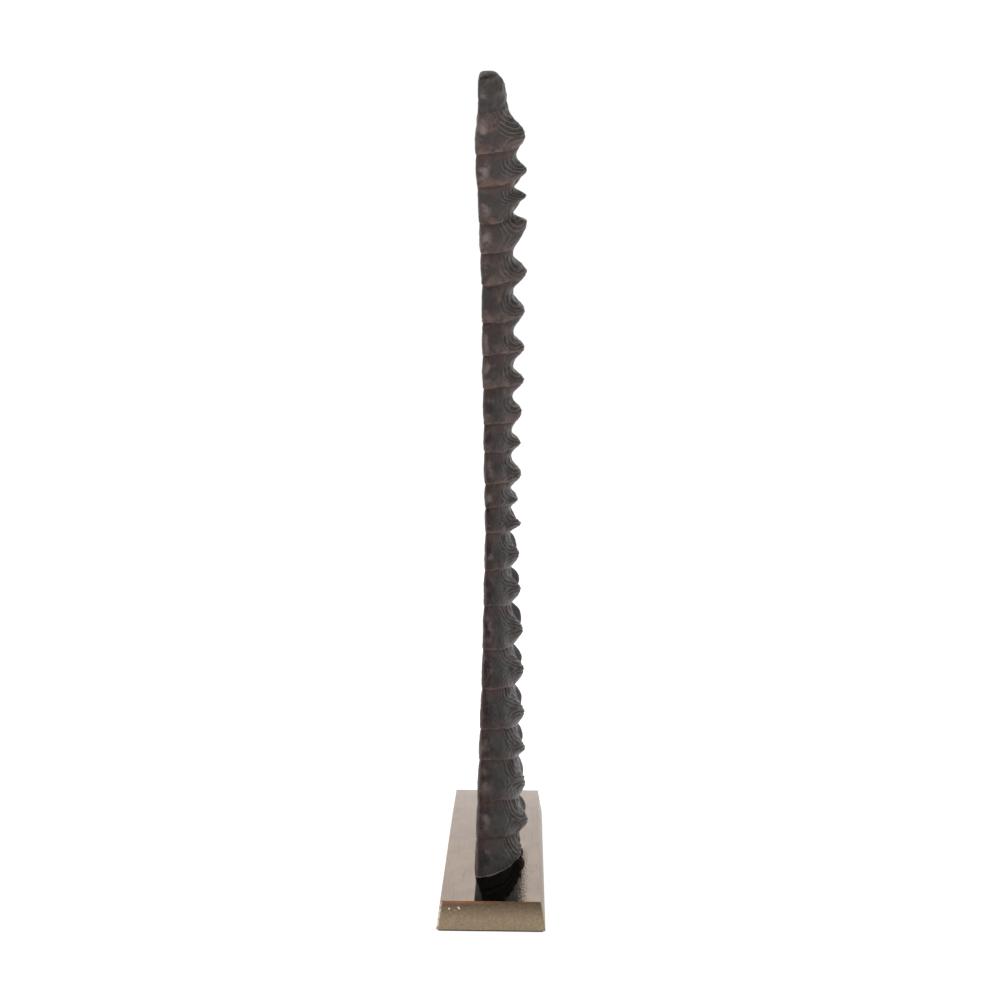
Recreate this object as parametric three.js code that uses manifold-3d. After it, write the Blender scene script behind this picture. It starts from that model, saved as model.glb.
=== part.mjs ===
// A ridged ibex-type horn kept as an ornament: it stands root down on a bevelled cast brass plinth.
// Millimetres, +Z up. The origin is the middle of the plinth's footprint, on its rubber sheet's underside.
// +Y runs along the plinth. The horn rises from the -Y end, swings out over the +Y end and comes back,
// so the hollow of its curve faces -Y. -X is its flat medial side and +X its knobbed lateral side.
import * as THREE from "three";
import { mergeVertices } from "three/addons/utils/BufferGeometryUtils.js";
import Module from "manifold-3d";

const wasm = await Module();
wasm.setup();

// Plinth: one casting whose four sides lean in from the bottom to the top
const PLINTH_BOTTOM = { x: 101.4, y: 245.6 };
const PLINTH_TOP = { x: 92.6, y: 236.8 };
const PLINTH_THICKNESS = 26.6;
const GAP = 0.3;

// Base sheet: thin rubber glued to the underside, a little smaller than the casting
const SHEET = { thickness: 1.5, inset: 1 };
const PLINTH_BOTTOM_Z = SHEET.thickness + GAP;
const PLINTH_TOP_Z = PLINTH_BOTTOM_Z + PLINTH_THICKNESS;

// Horn: the inner line of the curve starts at the plinth and leans away from upright by these degrees
const HORN_START_Y = -77;
const LEAN_AT_ROOT = 35;
const LEAN_TURN = 95;
const TURN_POWER = 1.6;
const HORN_LENGTH = 832;
const TIP_AT = 827;
const TIP_ROUNDING = 6;
const BURIED = 45;
const RING_LEAN_SHARE = 0.6;

// Each ring, from the root up: its pitch along the inner line and how far its knob stands out
const RINGS = [
  [37, 2], [35, 8], [40, 6], [30, 7], [42, 8], [41, 10], [43, 11], [38, 10], [38, 9], [27, 11],
  [25, 8], [33, 11], [30, 10], [37, 10], [34, 12], [34, 12], [40, 12], [32, 14], [31, 14], [38, 12],
  [37, 11], [46, 10],
];
const PILLOW = 1.3;
const RING_STEPS = [0, 0.14, 0.32, 0.54, 0.78];

// How far the knobs' necks lie below the creases of the inner face, and how far the rings of the rear sit
// higher, [distance up the inner line, millimetres]
const NECK_DIP = [[267, 0], [306, 2], [344, 2], [371, 5], [396, 8], [429, 9], [460, 11], [496, 13],
  [531, 14], [567, 16], [608, 12], [636, 5], [664, -5], [676, -5], [700, 7], [712, 7], [736, 10], [750, 9],
  [790, 1], [832, 0]];
const REAR_LIFT = [[-60, 9], [300, 10], [420, 3], [620, 2], [680, -8], [832, -6]];
const REAR_STARTS = [0.41, 0.49];
const REAR_ENDS = [0.74, 0.97];

// Each ring has a sharp tooth towards the inner face and, where the share is not zero, a round knob
// behind it. Turns are shares of the way round the section; the crest is a share of the ring's pitch.
const KNOB_CREST = [[-60, 0.37], [108, 0.37], [127, 0.26], [145, 0.37], [225, 0.42], [262, 0.46], [300, 0.4],
  [350, 0.42], [430, 0.54], [630, 0.56], [658, 0.76], [690, 0.6], [725, 0.5], [765, 0.45], [832, 0.4]];
const KNOB_FULLNESS = [[-60, 1.4], [250, 1.4], [350, 2], [832, 2]];
const KNOB_FALL = 3.6;
const NEAR_TOOTH = { turn: 0.385, width: 0.058 };
const FAR_KNOB = { turn: 0.487, width: 0.034 };
const FAR_KNOB_SHARE = [[-60, 1.1], [310, 1.1], [345, 0.8], [372, 0.2], [395, 0], [640, 0], [690, 0.95],
  [750, 0.9], [785, 0]];

// The bare section, [distance up the inner line, size], between which the size runs evenly
const MEDIAL_EDGE = [[-60, -17.2], [0, -15.2], [60, -14.7], [184, -12.5], [344, -10.3], [430, -11.8],
  [520, -12.8], [600, -12.3], [742, -14.8], [788, -11.3], [827, -10]];
const LATERAL_NECK = [[-60, 27], [0, 26], [110, 24.5], [184, 19.5], [268, 15.5], [344, 13.5], [430, 14.5],
  [530, 16.5], [640, 16], [705, 18.5], [742, 21], [772, 15], [790, 12.5], [809, 12.5], [827, 3.5]];
const DEPTH = [[-60, 83], [0, 80], [184, 73], [344, 64], [530, 54], [705, 43], [788, 29], [832, 16]];

// Section outline in shares of its width and depth, from the inner medial corner round by the lateral side
const OUTLINE = [
  [0, 0], [0.22, 0.02], [0.46, 0.09], [0.65, 0.17], [0.79, 0.27], [0.92, 0.42], [1, 0.64], [0.97, 0.84],
  [0.8, 0.97], [0.5, 1], [0.2, 0.97], [0.04, 0.85], [-0.02, 0.62], [-0.03, 0.38], [-0.025, 0.13],
];
const AROUND = 36;

// Root: the hollow of the sheath, and the wooden plug glued into it
const HOLLOW = { scale: 0.68, height: 190, steps: 10 };
const PLUG = { scale: 0.665, height: 110, steps: 6 };
const CORE_CENTRE = { width: 0.46, depth: 0.52 };

// Fasteners: two M8 socket screws from below into threaded brass inserts
const SCREW_X = 4;
const SCREW_Y = { front: -33, rear: -7 };
const SCREW = { radius: 4, length: 35, headRadius: 6.5, headHeight: 8, socketRadius: 3.46, socketDepth: 4 };
const WASHER = { outer: 8, inner: 4.4, thickness: 1.6 };
const INSERT = { outer: 6, inner: 4.3, length: 18 };
const CLEARANCE_RADIUS = 4.5;
const COUNTERBORE = { radius: 9, depth: 10.5 };

const brass = { color: 0x9c8a72, roughness: 0.35, metalness: 1 };
const horn = { color: 0x3c3433, roughness: 0.5, metalness: 0 };
const hardwood = { color: 0xa9824f, roughness: 0.7, metalness: 0 };
const yellowBrass = { color: 0xc9a34e, roughness: 0.35, metalness: 1 };
const steel = { color: 0xb4b6b8, roughness: 0.4, metalness: 1 };
const rubber = { color: 0x26262a, roughness: 0.9, metalness: 0 };

const object = new THREE.Group();

function addPart(name, geometry, finish, place = new THREE.Vector3()) {
  const mesh = new THREE.Mesh(geometry, new THREE.MeshStandardMaterial(finish));
  mesh.name = name;
  mesh.position.copy(place);
  object.add(mesh);
}

// Joins the shared corners of a closed geometry, so that only positions are left
function welded(geometry) {
  const copy = geometry.clone();
  copy.deleteAttribute("normal");
  copy.deleteAttribute("uv");
  return mergeVertices(copy, 1e-4);
}

function toSolid(geometry) {
  const shell = welded(geometry);
  const vertProperties = new Float32Array(shell.attributes.position.array);
  const triVerts = new Uint32Array(shell.index.array);
  return new wasm.Manifold(new wasm.Mesh({ numProp: 3, vertProperties, triVerts }));
}

function toGeometry(solid) {
  const mesh = solid.getMesh();
  const geometry = new THREE.BufferGeometry();
  geometry.setAttribute("position", new THREE.BufferAttribute(new Float32Array(mesh.vertProperties), 3));
  geometry.setIndex(new THREE.BufferAttribute(new Uint32Array(mesh.triVerts), 1));
  return geometry;
}

// An upright cylinder from z = bottom to z = top
function uprightCylinder(radius, bottom, top, x = 0, y = 0, sides = 24) {
  const geometry = new THREE.CylinderGeometry(radius, radius, top - bottom, sides);
  geometry.rotateX(Math.PI / 2);
  return geometry.translate(x, y, (bottom + top) / 2);
}

// A ring with a square section, standing on z = 0
function flatRing(inner, outer, height) {
  const section = [[inner, 0], [outer, 0], [outer, height], [inner, height], [inner, 0]];
  const geometry = new THREE.LatheGeometry(section.map(([r, z]) => new THREE.Vector2(r, z)), 24);
  return geometry.rotateX(Math.PI / 2);
}

function between(stations, s) {
  const next = stations.findIndex(([at]) => at >= s);
  if (next < 1) return next === 0 ? stations[0][1] : stations.at(-1)[1];
  const [low, lowValue] = stations[next - 1];
  const [high, highValue] = stations[next];
  return THREE.MathUtils.lerp(lowValue, highValue, (s - low) / (high - low));
}

// The inner line, one point a millimetre: it leans at a steady angle below the plinth's top, and
// above it the curve tightens all the way to the tip
function leanAt(s) {
  const share = Math.max(s, 0) / HORN_LENGTH;
  return THREE.MathUtils.degToRad(LEAN_AT_ROOT - LEAN_TURN * share ** TURN_POWER);
}

function drawInnerLine() {
  const line = [new THREE.Vector2(HORN_START_Y, PLINTH_TOP_Z)];
  for (let s = 1; s <= HORN_LENGTH; s += 1) {
    const lean = leanAt(s - 0.5);
    line.push(line.at(-1).clone().add(new THREE.Vector2(Math.sin(lean), Math.cos(lean))));
  }
  return line;
}

const innerLine = drawInnerLine();

function innerPoint(s) {
  if (s < 0) {
    const lean = leanAt(0);
    return innerLine[0].clone().add(new THREE.Vector2(Math.sin(lean), Math.cos(lean)).multiplyScalar(s));
  }
  const low = Math.min(Math.floor(s), innerLine.length - 2);
  return innerLine[low].clone().lerp(innerLine[low + 1], s - low);
}

function bump(middle, width, value) {
  return Math.exp(-(((value - middle) / width) ** 2));
}

// A tooth rises from its lower neck to its rounded crest, and falls in a hollow to its upper neck
function toothHeight(share, crest, fullness) {
  if (share < crest) return Math.sin(((share / crest) * Math.PI) / 2) ** fullness;
  return Math.cos((((share - crest) / (1 - crest)) * Math.PI) / 2) ** KNOB_FALL;
}

function roundKnobHeight(share) {
  return Math.max(Math.sin(Math.PI * Math.min(share / 0.84, 1)), 0) ** 0.9;
}

function ringAt(s) {
  let start = 0;
  for (const [pitch, reach] of RINGS) {
    if (s >= start && s < start + pitch) return { share: (s - start) / pitch, reach };
    start += pitch;
  }
  return { share: 0, reach: 0 };
}

const outline = new THREE.CatmullRomCurve3(OUTLINE.map(([x, y]) => new THREE.Vector3(x, y, 0)), true);

// How far a point lies on the rear of the horn, from 0 on the inner face to 1
function rearShare(turn) {
  const starting = THREE.MathUtils.smoothstep(turn, ...REAR_STARTS);
  return starting * (1 - THREE.MathUtils.smoothstep(turn, ...REAR_ENDS));
}

function ringSlide(turn, s) {
  const rise = between(REAR_LIFT, s) - between(NECK_DIP, s);
  return rise * rearShare(turn) * (1 - THREE.MathUtils.smoothstep(s, 790, 815));
}

// How far the skin stands out from the bare section
function standOut(turn, s, outward) {
  const tooth = ringAt(s + between(NECK_DIP, s) * (1 - rearShare(turn)));
  const crest = between(KNOB_CREST, s);
  const farShare = between(FAR_KNOB_SHARE, s);
  const slack = Math.max(turn - NEAR_TOOTH.turn, 0) * 0.6 * (1 - Math.min(farShare, 1));
  const near = bump(NEAR_TOOTH.turn, NEAR_TOOTH.width, turn - slack) * Math.max(outward.x, 0);
  const far = farShare * bump(FAR_KNOB.turn, FAR_KNOB.width, turn);
  const rear = Math.max(outward.y, 0) ** 2 * THREE.MathUtils.smoothstep(turn, 0.47, 0.55);
  const height = toothHeight(tooth.share, crest, between(KNOB_FULLNESS, s));
  const knob = Math.max(height * near, roundKnobHeight(tooth.share) * far, height * rear);
  const ring = ringAt(s);
  const corner = bump(0, 0.06, Math.min(turn, 1 - turn));
  const pillow = ring.reach > 0 ? PILLOW * (1 - 0.7 * corner) * Math.sin(Math.PI * ring.share ** 0.8) : 0;
  return tooth.reach * knob + pillow;
}

// A point of the horn's skin (scale 1) or of a core shaped like it (scale under 1)
function hornPoint(turn, nominal, scale) {
  const isSkin = scale === 1;
  const s = isSkin ? nominal + ringSlide(turn, nominal) : nominal;
  const left = between(MEDIAL_EDGE, s);
  const width = between(LATERAL_NECK, s) - left;
  const depth = between(DEPTH, s);
  const at = outline.getPoint(turn);
  const along = outline.getTangent(turn);
  const outward = new THREE.Vector2(along.y * depth, -along.x * width).normalize();
  const proud = isSkin ? standOut(turn, nominal, outward) : 0;
  const pastRounding = Math.max(s - (TIP_AT - TIP_ROUNDING), 0) / TIP_ROUNDING;
  const share = scale * Math.sqrt(1 - 0.9 * pastRounding ** 3);
  const across = CORE_CENTRE.width + (at.x - CORE_CENTRE.width) * share;
  const deep = CORE_CENTRE.depth + (at.y - CORE_CENTRE.depth) * share;
  const x = left + across * width + outward.x * proud;
  const v = deep * depth + outward.y * proud;
  const lean = leanAt(s) * RING_LEAN_SHARE;
  const base = innerPoint(s);
  return new THREE.Vector3(x, base.x + v * Math.cos(lean), base.y - v * Math.sin(lean));
}

// Bends a closed cylinder along the horn: its rings of vertices go to the given distances up the inner line
function bendAlongHorn(distances, scale) {
  const steps = distances.length - 1;
  const shell = welded(new THREE.CylinderGeometry(1, 1, steps, AROUND, steps));
  const corners = shell.attributes.position;
  for (let i = 0; i < corners.count; i += 1) {
    const s = distances[Math.round(corners.getY(i) + steps / 2)];
    const radius = Math.hypot(corners.getX(i), corners.getZ(i));
    const turn = (Math.atan2(corners.getX(i), corners.getZ(i)) / (2 * Math.PI) + 1) % 1;
    const point = hornPoint(turn, s, radius > 0.5 ? scale : 0.001);
    corners.setXYZ(i, point.x, point.y, point.z);
  }
  return shell;
}

function ringDistances() {
  const distances = [-BURIED, -BURIED / 2];
  let start = 0;
  for (const [pitch] of RINGS) {
    distances.push(...RING_STEPS.map((share) => start + share * pitch));
    start += pitch;
  }
  const tip = TIP_AT - start;
  distances.push(...[0, 0.3, 0.6, 0.85, 0.95, 1].map((share) => start + share * tip));
  return distances;
}

function coreDistances({ height, steps }) {
  const run = height + BURIED;
  return Array.from({ length: steps + 1 }, (_, i) => -BURIED + (run * i) / steps);
}

// Everything at or below the plinth's top, to trim the horn's foot flat
const trimHeight = PLINTH_TOP_Z + GAP;
const belowPlinthTop = toSolid(new THREE.BoxGeometry(300, 500, 200).translate(0, 0, trimHeight - 100));

function buildHornSheath() {
  const skin = toSolid(bendAlongHorn(ringDistances(), 1));
  const hollow = toSolid(bendAlongHorn(coreDistances(HOLLOW), HOLLOW.scale));
  addPart("horn_sheath", toGeometry(skin.subtract(hollow).subtract(belowPlinthTop)), horn);
}

function buildRootPlug() {
  let plug = toSolid(bendAlongHorn(coreDistances(PLUG), PLUG.scale)).subtract(belowPlinthTop);
  for (const y of Object.values(SCREW_Y)) {
    const bore = uprightCylinder(INSERT.outer + GAP, 0, PLINTH_TOP_Z + INSERT.length + 4, SCREW_X, y);
    plug = plug.subtract(toSolid(bore));
  }
  addPart("root_plug", toGeometry(plug), hardwood);
}

function buildPlinth() {
  const block = new THREE.BoxGeometry(PLINTH_BOTTOM.x, PLINTH_BOTTOM.y, PLINTH_THICKNESS);
  const corners = block.attributes.position;
  for (let i = 0; i < corners.count; i += 1) {
    if (corners.getZ(i) < 0) continue;
    corners.setX(i, Math.sign(corners.getX(i)) * PLINTH_TOP.x / 2);
    corners.setY(i, Math.sign(corners.getY(i)) * PLINTH_TOP.y / 2);
  }
  let plinth = toSolid(block.translate(0, 0, PLINTH_BOTTOM_Z + PLINTH_THICKNESS / 2));
  for (const y of Object.values(SCREW_Y)) {
    const hole = uprightCylinder(CLEARANCE_RADIUS, -5, PLINTH_TOP_Z + 5, SCREW_X, y);
    const counterboreTop = PLINTH_BOTTOM_Z + COUNTERBORE.depth;
    const counterbore = uprightCylinder(COUNTERBORE.radius, -5, counterboreTop, SCREW_X, y);
    plinth = plinth.subtract(toSolid(hole)).subtract(toSolid(counterbore));
  }
  addPart("plinth", toGeometry(plinth), brass);
}

function buildBaseSheet() {
  const width = PLINTH_BOTTOM.x - 2 * SHEET.inset;
  const length = PLINTH_BOTTOM.y - 2 * SHEET.inset;
  const sheet = new THREE.BoxGeometry(width, length, SHEET.thickness);
  addPart("base_sheet", sheet, rubber, new THREE.Vector3(0, 0, SHEET.thickness / 2));
}

function buildFastener(end, y) {
  const washerBottom = PLINTH_BOTTOM_Z + COUNTERBORE.depth - GAP - WASHER.thickness;
  const headTop = washerBottom - GAP;
  const headBottom = headTop - SCREW.headHeight;
  const head = toSolid(uprightCylinder(SCREW.headRadius, headBottom, headTop));
  const shank = toSolid(uprightCylinder(SCREW.radius, headTop - 1, headTop + SCREW.length));
  const socketTop = headBottom + SCREW.socketDepth;
  const socket = toSolid(uprightCylinder(SCREW.socketRadius, headBottom - 1, socketTop, 0, 0, 6));
  const screw = toGeometry(head.add(shank).subtract(socket));
  addPart(`screw_${end}`, screw, steel, new THREE.Vector3(SCREW_X, y, 0));
  const washer = flatRing(WASHER.inner, WASHER.outer, WASHER.thickness);
  addPart(`washer_${end}`, washer, steel, new THREE.Vector3(SCREW_X, y, washerBottom));
  const insert = flatRing(INSERT.inner, INSERT.outer, INSERT.length);
  addPart(`insert_${end}`, insert, yellowBrass, new THREE.Vector3(SCREW_X, y, PLINTH_TOP_Z + 2 * GAP));
}

buildHornSheath();
buildRootPlug();
buildPlinth();
buildBaseSheet();
for (const [end, y] of Object.entries(SCREW_Y)) buildFastener(end, y);

export default object;
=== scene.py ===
# %% [markdown]
# # A ridged horn on a brass plinth
# This lesson dresses a finished CAD frame. The frame already says where every part is and how
# big it is, so each Blender piece is built straight into its place, in metres, and rides on the
# frame's one body. The horn, the plinth and the small hardware are each a step of their own.

import math

import bpy
import numpy as np
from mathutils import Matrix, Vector, noise


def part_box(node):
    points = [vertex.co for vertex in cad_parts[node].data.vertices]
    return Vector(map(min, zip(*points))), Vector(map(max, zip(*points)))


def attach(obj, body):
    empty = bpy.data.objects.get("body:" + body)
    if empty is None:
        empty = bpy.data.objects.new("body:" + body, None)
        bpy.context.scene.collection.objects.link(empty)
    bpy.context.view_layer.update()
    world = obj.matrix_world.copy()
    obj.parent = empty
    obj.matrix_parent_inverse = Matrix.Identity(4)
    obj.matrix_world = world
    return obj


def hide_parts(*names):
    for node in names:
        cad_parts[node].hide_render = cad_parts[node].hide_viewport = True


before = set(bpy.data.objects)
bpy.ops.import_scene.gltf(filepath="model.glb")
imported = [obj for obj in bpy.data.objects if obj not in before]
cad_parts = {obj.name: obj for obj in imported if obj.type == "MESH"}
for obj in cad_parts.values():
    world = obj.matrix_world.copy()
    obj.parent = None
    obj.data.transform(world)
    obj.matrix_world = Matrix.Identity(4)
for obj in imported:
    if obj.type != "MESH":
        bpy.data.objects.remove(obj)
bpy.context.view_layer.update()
MM = 0.001

# %% [markdown]
# The camera stands at the end of the plinth, a little to the knobbed side and above the middle of
# the horn. It has no shift, so the same lens works from every other side. The tilt and the small
# turn put the horn upright in the frame. The eye height is given above the plinth's top, because
# that face is what the perspective was worked out from.

# %% Camera
plinth_low, plinth_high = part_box("plinth")
PLINTH_TOP = plinth_high[2]
EYE = {"across": 0.030, "back": 1.054, "above_plinth": 0.5435}
FOCAL_IN_FRAME_WIDTHS = 1.1
TILT_DOWN = 10.10
TURN_LEFT = 1.31

camera_data = bpy.data.cameras.new("camera")
camera_data.sensor_width = 36.0
camera_data.lens = FOCAL_IN_FRAME_WIDTHS * camera_data.sensor_width
camera = bpy.data.objects.new("camera", camera_data)
bpy.context.scene.collection.objects.link(camera)
camera.location = (EYE["across"], -EYE["back"], PLINTH_TOP + EYE["above_plinth"])
camera.rotation_euler = (math.radians(90 - TILT_DOWN), 0, math.radians(TURN_LEFT))
bpy.context.scene.camera = camera
print("camera at", [round(v, 3) for v in camera.location])

# %% [markdown]
# ## Helpers for finishes
# Every colour is picked as an sRGB hex value, as a painter would read it off a swatch, and one
# function turns it linear. One more function adds a shader node with its settings and links, so
# a material reads from top to bottom like a recipe. A finish is then built as a painter builds it:
# a base colour, and thin layers laid over it, each only where its shares let it show.


# %% Colour and node helpers
def linear(hex_colour):
    """An sRGB hex colour as the linear RGBA that shader sockets hold."""
    channels = [int(hex_colour[i : i + 2], 16) / 255 for i in (1, 3, 5)]
    return tuple(c / 12.92 if c <= 0.04045 else ((c + 0.055) / 1.055) ** 2.4 for c in channels) + (1.0,)


def add_node(tree, kind, settings=None, inputs=None):
    """Adds a node, sets its properties, and fills its inputs with values, sockets or other nodes."""
    node = tree.nodes.new("ShaderNode" + kind)
    for name, value in (settings or {}).items():
        setattr(node, name, value)
    for name, value in (inputs or {}).items():
        if isinstance(value, bpy.types.Node):
            value = value.outputs[0]
        if isinstance(value, bpy.types.NodeSocket):
            tree.links.new(value, node.inputs[name])
        else:
            node.inputs[name].default_value = value
    return node


def new_material(name):
    """An empty node material."""
    material = bpy.data.materials.new(name)
    material.use_nodes = True
    material.node_tree.nodes.clear()
    return material, material.node_tree


def dress_in(piece, material):
    """Gives a piece one material in place of any it had."""
    piece.data.materials.clear()
    piece.data.materials.append(material)


print("helpers ready; mid grey is", round(linear("#808080")[0], 3), "in linear light")

# %% [markdown]
# Layers need two more steps. A share says how much of a layer shows: it is the product of masks,
# patterns and plain numbers, and a pattern is first read over a span, which sets how sharp its edges
# are. A texture's scale is its number of features in a metre, so it comes from a size in millimetres.

# %% Shares and layers
MIX_SHARE, MIX_UNDER, MIX_OVER, MIX_RESULT = 0, 6, 7, 2
SPAN_SOCKETS = ("From Min", "From Max", "To Min", "To Max")


def per_mm(size_mm):
    """The scale that gives a texture on Object coordinates features of this size."""
    return 1000.0 / size_mm


def share_of(tree, *parts):
    """The product of parts: a number, a node or a socket, or one with the span it is read over."""
    product = None
    for part in parts:
        if isinstance(part, tuple):
            span = dict(zip(SPAN_SOCKETS, part[1:]))
            part = add_node(tree, "MapRange", inputs={"Value": part[0], **span})
        if product is not None:
            part = add_node(tree, "Math", {"operation": "MULTIPLY"}, {0: product, 1: part})
        product = part
    return product


def lay_colour(tree, under, over, *parts):
    """Lays one colour over another by the share that the parts make; a colour is a hex value or a socket."""
    under, over = (linear(each) if isinstance(each, str) else each for each in (under, over))
    layers = {MIX_SHARE: share_of(tree, *parts), MIX_UNDER: under, MIX_OVER: over}
    return add_node(tree, "Mix", {"data_type": "RGBA"}, layers).outputs[MIX_RESULT]


def set_tones(ramp, stops):
    """Gives a colour ramp the tones it runs through, each a position and a hex colour."""
    elements = ramp.color_ramp.elements
    while len(elements) < len(stops):
        elements.new(0.5)
    for element, (position, hex_colour) in zip(elements, stops):
        element.position = position
        element.color = linear(hex_colour)


print("a 4 mm pattern has a scale of", per_mm(4))

# %% [markdown]
# ## Studio
# A backlit white acrylic table and an even white backdrop, as in a catalogue. The surround is bright
# behind the object and dim behind the lens, so a dark glossy thing keeps its own tone and only its
# edges pick up white. The lens always sees the surround as white.


# %% Floor
def deselect_all():
    for each in bpy.context.selected_objects:
        each.select_set(False)


def build_floor():
    deselect_all()
    bpy.ops.mesh.primitive_plane_add(size=12, location=(0, 0, 0))
    floor = bpy.context.object
    floor.name = "floor"
    # Acrylic lit from behind glows evenly and has almost no gloss, so shadows stay faint on it
    material, tree = new_material("backlit_white_acrylic")
    acrylic = add_node(
        tree,
        "BsdfPrincipled",
        inputs={
            "Base Color": linear("#f4f4f4"),
            "Roughness": 0.9,
            "Specular IOR Level": 0.1,
            "Emission Color": linear("#ffffff"),
            "Emission Strength": 0.56,
        },
    )
    add_node(tree, "OutputMaterial", inputs={"Surface": acrylic})
    dress_in(floor, material)
    return floor


print("floor:", build_floor().name)

# %% [markdown]
# The surround is one background whose strength follows the direction it is looked at in. A smooth
# range turns that direction into a strength, and a second value takes over for the lens alone.

# %% Surround
REAR_GLOW = {"From Min": -0.35, "From Max": 0.45, "To Min": 0.16, "To Max": 1.0}
SEEN_WHITE = 1.02


def build_surround():
    """A world that is bright ahead of the lens and dim behind it, and plain white to the lens."""
    world = bpy.data.worlds.new("studio")
    bpy.context.scene.world = world
    world.use_nodes = True
    tree = world.node_tree
    tree.nodes.clear()
    direction = add_node(tree, "TexCoord").outputs["Generated"]
    ahead = add_node(tree, "SeparateXYZ", inputs={"Vector": direction}).outputs["Y"]
    glow = add_node(tree, "MapRange", {"interpolation_type": "SMOOTHSTEP"}, {"Value": ahead, **REAR_GLOW})
    seen = add_node(tree, "LightPath").outputs["Is Camera Ray"]
    strength = add_node(tree, "Mix", {"data_type": "FLOAT"}, {0: seen, 2: glow, 3: SEEN_WHITE})
    surround = add_node(tree, "Background", inputs={"Color": linear("#ffffff"), "Strength": strength})
    add_node(tree, "OutputWorld", inputs={"Surface": surround})


build_surround()
print("world:", bpy.context.scene.world.name)

# %% [markdown]
# The lamps are wide panels, so that shadows stay soft. The one on the left is the stronger, and gives
# the inner face its sheen; the right one and the overhead one only open up the shadows.

# %% Lamps
MIDDLE = (0.0, 0.0, 0.4)
FLOOR_MIDDLE = (0.0, 0.0, 0.0)
# Each lamp's name, its place, what it points at and its size in metres, and its power in watts
LAMPS = [
    ("softbox_left", (-1.3, -0.7, 0.9), MIDDLE, (0.5, 1.4), 13),
    ("softbox_right", (1.5, -0.5, 1.1), MIDDLE, (0.6, 1.2), 6),
    ("overhead", (0.0, -0.3, 2.2), FLOOR_MIDDLE, (1.6, 1.6), 6),
]


def add_lamp(name, place, target, size, power):
    data = bpy.data.lights.new(name, "AREA")
    data.shape = "RECTANGLE"
    data.size, data.size_y = size
    data.energy = power
    lamp = bpy.data.objects.new(name, data)
    bpy.context.scene.collection.objects.link(lamp)
    lamp.location = place
    lamp.rotation_euler = (Vector(target) - Vector(place)).to_track_quat("-Z", "Y").to_euler()


for lamp in LAMPS:
    add_lamp(*lamp)
bpy.context.scene.view_settings.view_transform = "Standard"

# %% [markdown]
# ## The horn's measurements
# A horn grows from its root, one ring at a time: each ring flares down to a lip, tucks in to a
# crease, and the next ring starts there. So the whole shape follows from one curved line, the
# section that is carried along it, and a list of rings. These are the frame's own numbers, in
# millimetres.

# %% Horn measurements
HORN_START_Y = -77.0
LEAN_AT_ROOT = 35.0
LEAN_TURN = 95.0
TURN_POWER = 1.6
HORN_LENGTH = 832.0
TIP_AT = 827.0
TIP_ROUNDING = 6.0
RING_LEAN_SHARE = 0.6
BURIED = 45.0
LINE_MARGIN = 20.0
FOOT_GAP = 0.3

# Each ring, from the root up: its pitch along the inner line and how far its knob stands out
RINGS = np.array(
    [
        (37, 2), (35, 8), (40, 6), (30, 7), (42, 8), (41, 10), (43, 11), (38, 10), (38, 9), (27, 11), (25, 8),
        (33, 11), (30, 10), (37, 10), (34, 12), (34, 12), (40, 12), (32, 14), (31, 14), (38, 12), (37, 11),
        (46, 10),
    ],
    dtype=float,
)  # fmt: skip

# The bare section, (distance up the inner line, size)
MEDIAL_EDGE = [
    (-60, -17.2), (0, -15.2), (60, -14.7), (184, -12.5), (344, -10.3), (430, -11.8), (520, -12.8),
    (600, -12.3), (742, -14.8), (788, -11.3), (827, -10),
]  # fmt: skip
LATERAL_NECK = [
    (-60, 27), (0, 26), (110, 24.5), (184, 19.5), (268, 15.5), (344, 13.5), (430, 14.5), (530, 16.5),
    (640, 16), (705, 18.5), (742, 21), (772, 15), (790, 12.5), (809, 12.5), (827, 3.5),
]  # fmt: skip
DEPTH = [(-60, 83), (0, 80), (184, 73), (344, 64), (530, 54), (705, 43), (788, 29), (832, 16)]

# The section's outline in shares of its width and depth, from the inner medial corner round
# by the knobbed side
OUTLINE = np.array(
    [
        (0, 0), (0.22, 0.02), (0.46, 0.09), (0.65, 0.17), (0.79, 0.27), (0.92, 0.42), (1, 0.64), (0.97, 0.84),
        (0.8, 0.97), (0.5, 1), (0.2, 0.97), (0.04, 0.85), (-0.02, 0.62), (-0.03, 0.38), (-0.025, 0.13),
    ]
)  # fmt: skip
CORE_CENTRE = (0.46, 0.52)

ring_starts = np.concatenate([[0], np.cumsum(RINGS[:, 0])])
print(len(RINGS), "rings over", ring_starts[-1], "mm, then", TIP_AT - ring_starts[-1], "mm of bare tip")


# %% [markdown]
# The inner line leans back at the root and tightens towards the tip. Its shape comes from the lean
# angle at each millimetre, summed up. The section's outline is a closed smooth curve through a few
# points, so it has no flats.


# %% The horn's line and section
def lean_at(s):
    share = np.clip(s, 0, None) / HORN_LENGTH
    return np.radians(LEAN_AT_ROOT - LEAN_TURN * share**TURN_POWER)


def draw_inner_line():
    s = np.arange(0, HORN_LENGTH + 1)
    lean = lean_at(s[:-1] + 0.5)
    y = HORN_START_Y + np.concatenate([[0], np.cumsum(np.sin(lean))])
    z = PLINTH_TOP / MM + np.concatenate([[0], np.cumsum(np.cos(lean))])
    buried = np.array([-BURIED - LINE_MARGIN])
    start = lean_at(0)
    s = np.concatenate([buried, s])
    y = np.concatenate([y[0] + buried * np.sin(start), y])
    z = np.concatenate([z[0] + buried * np.cos(start), z])
    return s, y, z


LINE_S, LINE_Y, LINE_Z = draw_inner_line()


def smooth_between(stations, s, reach=12.0):
    """The value at s, run through the stations and rounded off over the reach."""
    at = np.arange(-90.0, HORN_LENGTH + 60)
    where, value = zip(*stations)
    raw = np.interp(at, where, value)
    width = int(reach)
    soft = np.convolve(np.pad(raw, width, mode="edge"), np.hanning(2 * width + 1) / width, mode="valid")
    return np.interp(s, at, soft)


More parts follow.
